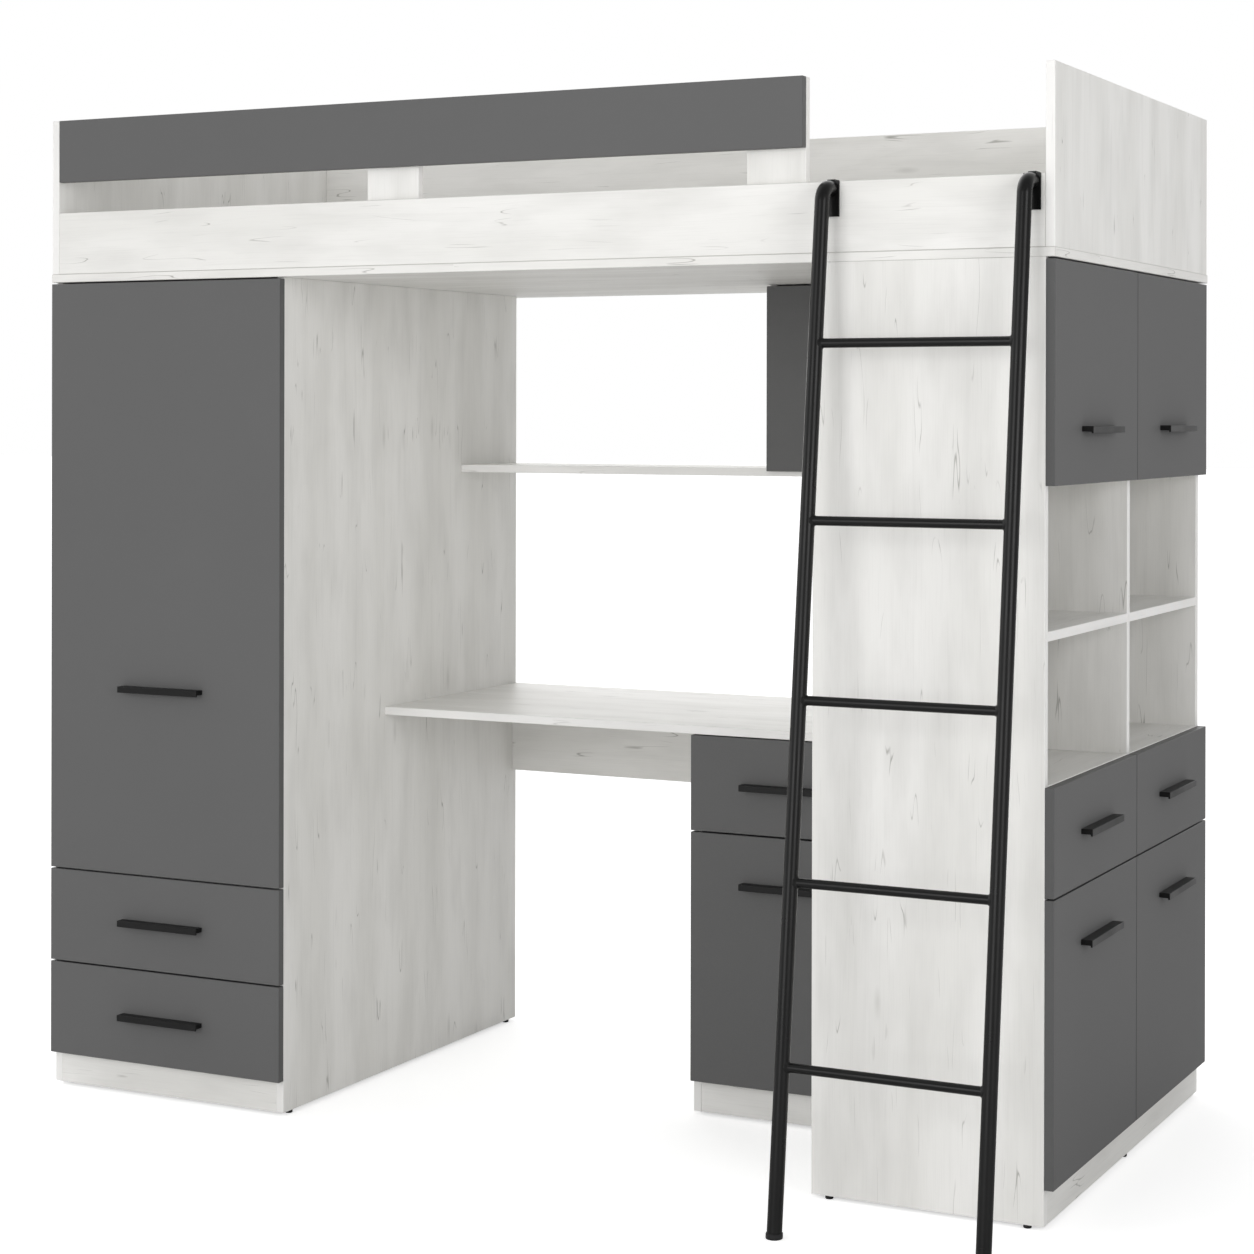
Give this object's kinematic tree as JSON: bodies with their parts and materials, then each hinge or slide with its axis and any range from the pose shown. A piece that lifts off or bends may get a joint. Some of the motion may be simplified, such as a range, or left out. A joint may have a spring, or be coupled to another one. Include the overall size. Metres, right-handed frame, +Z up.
{
  "type": "loft bed with desk",
  "caption": "High sleeper bed on a wardrobe and a bookcase, with a desk, shelf and cabinets between them, a guard rail and a hook-on ladder.",
  "frame": {"origin": "on the floor, under the middle of the whole footprint, from the ladder's feet to the deck's back edge and from the left end to the front of the right-hand handles", "axes": "+X along the bed towards the bookcase end, +Y from the front to the back, +Z up"},
  "size_m": [2.06, 1.212, 1.893],
  "materials": {
    "white_oak_board": "white oak decor melamine, fine grey grain and small dark cracks, matt",
    "graphite_front": "plain graphite grey melamine, matt",
    "thin_back_board": "thin white lacquered fibreboard",
    "drawer_board": "white melamine drawer boards",
    "ladder_black": "black powder coat on steel tube, satin",
    "handle_black": "black powder coat on cast bar, matt",
    "black_plastic": "moulded black polyethylene",
    "nickel_steel": "nickel-plated pressed steel",
    "runner_steel": "white epoxy-coated steel",
    "chrome_tube": "bright chrome-plated tube"
  },
  "bodies": {
    "carcass": {"back_boards": "thin_back_board", "bed_back_panel": "white_oak_board", "bed_deck": "white_oak_board", "bed_end_left": "white_oak_board", "bed_end_right": "white_oak_board", "bed_front_rail": "white_oak_board", "bookcase_back": "white_oak_board", "bookcase_boards": "white_oak_board", "bookcase_dividers": "white_oak_board", "bookcase_side_front": "white_oak_board", "bookcase_side_rear": "white_oak_board", "clothes_rail": "chrome_tube", "desk_back_rail": "white_oak_board", "desk_cabinet_boards": "white_oak_board", "desk_cabinet_side": "white_oak_board", "desk_shelf": "white_oak_board", "desk_top": "white_oak_board", "drawer_runners": "runner_steel", "glides": "black_plastic", "guard_posts": "white_oak_board", "guard_rail": "graphite_front", "hanging_cabinet_side": "white_oak_board", "hinge_arms": "nickel_steel", "plinths": "white_oak_board", "wardrobe_boards": "white_oak_board", "wardrobe_side_left": "white_oak_board", "wardrobe_side_right": "white_oak_board"},
    "wardrobe_door": {"wardrobe_door": "graphite_front", "wardrobe_door_handle": "handle_black"},
    "desk_door": {"desk_door": "graphite_front", "desk_door_handle": "handle_black"},
    "hanging_door": {"hanging_door": "graphite_front", "hanging_door_handle": "handle_black"},
    "upper_front_door": {"upper_front_door": "graphite_front", "upper_front_door_handle": "handle_black"},
    "upper_rear_door": {"upper_rear_door": "graphite_front", "upper_rear_door_handle": "handle_black"},
    "lower_front_door": {"lower_front_door": "graphite_front", "lower_front_door_handle": "handle_black"},
    "lower_rear_door": {"lower_rear_door": "graphite_front", "lower_rear_door_handle": "handle_black"},
    "wardrobe_upper_drawer": {"wardrobe_upper_drawer_front": "graphite_front", "wardrobe_upper_drawer_box": "drawer_board", "wardrobe_upper_drawer_handle": "handle_black"},
    "wardrobe_lower_drawer": {"wardrobe_lower_drawer_front": "graphite_front", "wardrobe_lower_drawer_box": "drawer_board", "wardrobe_lower_drawer_handle": "handle_black"},
    "desk_drawer": {"desk_drawer_front": "graphite_front", "desk_drawer_box": "drawer_board", "desk_drawer_handle": "handle_black"},
    "bookcase_front_drawer": {"bookcase_front_drawer_front": "graphite_front", "bookcase_front_drawer_box": "drawer_board", "bookcase_front_drawer_handle": "handle_black"},
    "bookcase_rear_drawer": {"bookcase_rear_drawer_front": "graphite_front", "bookcase_rear_drawer_box": "drawer_board", "bookcase_rear_drawer_handle": "handle_black"},
    "ladder": {"ladder_stiles": "ladder_black", "ladder_rungs": "ladder_black", "ladder_hooks": "ladder_black", "ladder_feet": "black_plastic"}
  },
  "joints": [
    {"name": "wardrobe_door_swing", "type": "hinge", "parent": "carcass", "child": "wardrobe_door", "pos_m": [-1.03, -0.361, 1.0015], "axis": [0, 0, -1], "range_deg": [0, 105]},
    {"name": "desk_door_swing", "type": "hinge", "parent": "carcass", "child": "desk_door", "pos_m": [0.185, 0.009, 0.3005], "axis": [0, 0, -1], "range_deg": [0, 105]},
    {"name": "hanging_door_swing", "type": "hinge", "parent": "carcass", "child": "hanging_door", "pos_m": [0.214, 0.292, 1.3905], "axis": [0, 0, -1], "range_deg": [0, 105]},
    {"name": "upper_front_door_swing", "type": "hinge", "parent": "carcass", "child": "upper_front_door", "pos_m": [1.01, -0.361, 1.389], "axis": [0, 0, -1], "range_deg": [0, 105]},
    {"name": "upper_rear_door_swing", "type": "hinge", "parent": "carcass", "child": "upper_rear_door", "pos_m": [1.01, 0.6, 1.389], "axis": [0, 0, 1], "range_deg": [0, 105]},
    {"name": "lower_front_door_swing", "type": "hinge", "parent": "carcass", "child": "lower_front_door", "pos_m": [1.01, -0.361, 0.3005], "axis": [0, 0, -1], "range_deg": [0, 105]},
    {"name": "lower_rear_door_swing", "type": "hinge", "parent": "carcass", "child": "lower_rear_door", "pos_m": [1.01, 0.6, 0.3005], "axis": [0, 0, 1], "range_deg": [0, 105]},
    {"name": "wardrobe_upper_drawer_slide", "type": "slide", "parent": "carcass", "child": "wardrobe_upper_drawer", "axis": [0, -1, 0], "range_m": [0, 0.34]},
    {"name": "wardrobe_lower_drawer_slide", "type": "slide", "parent": "carcass", "child": "wardrobe_lower_drawer", "axis": [0, -1, 0], "range_m": [0, 0.34]},
    {"name": "desk_drawer_slide", "type": "slide", "parent": "carcass", "child": "desk_drawer", "axis": [0, -1, 0], "range_m": [0, 0.34]},
    {"name": "bookcase_front_drawer_slide", "type": "slide", "parent": "carcass", "child": "bookcase_front_drawer", "axis": [1, 0, 0], "range_m": [0, 0.25]},
    {"name": "bookcase_rear_drawer_slide", "type": "slide", "parent": "carcass", "child": "bookcase_rear_drawer", "axis": [1, 0, 0], "range_m": [0, 0.25]},
    {"name": "ladder_lift", "type": "slide", "parent": "carcass", "child": "ladder", "axis": [0, 0, 1], "range_m": [0, 0.1]}
  ]
}
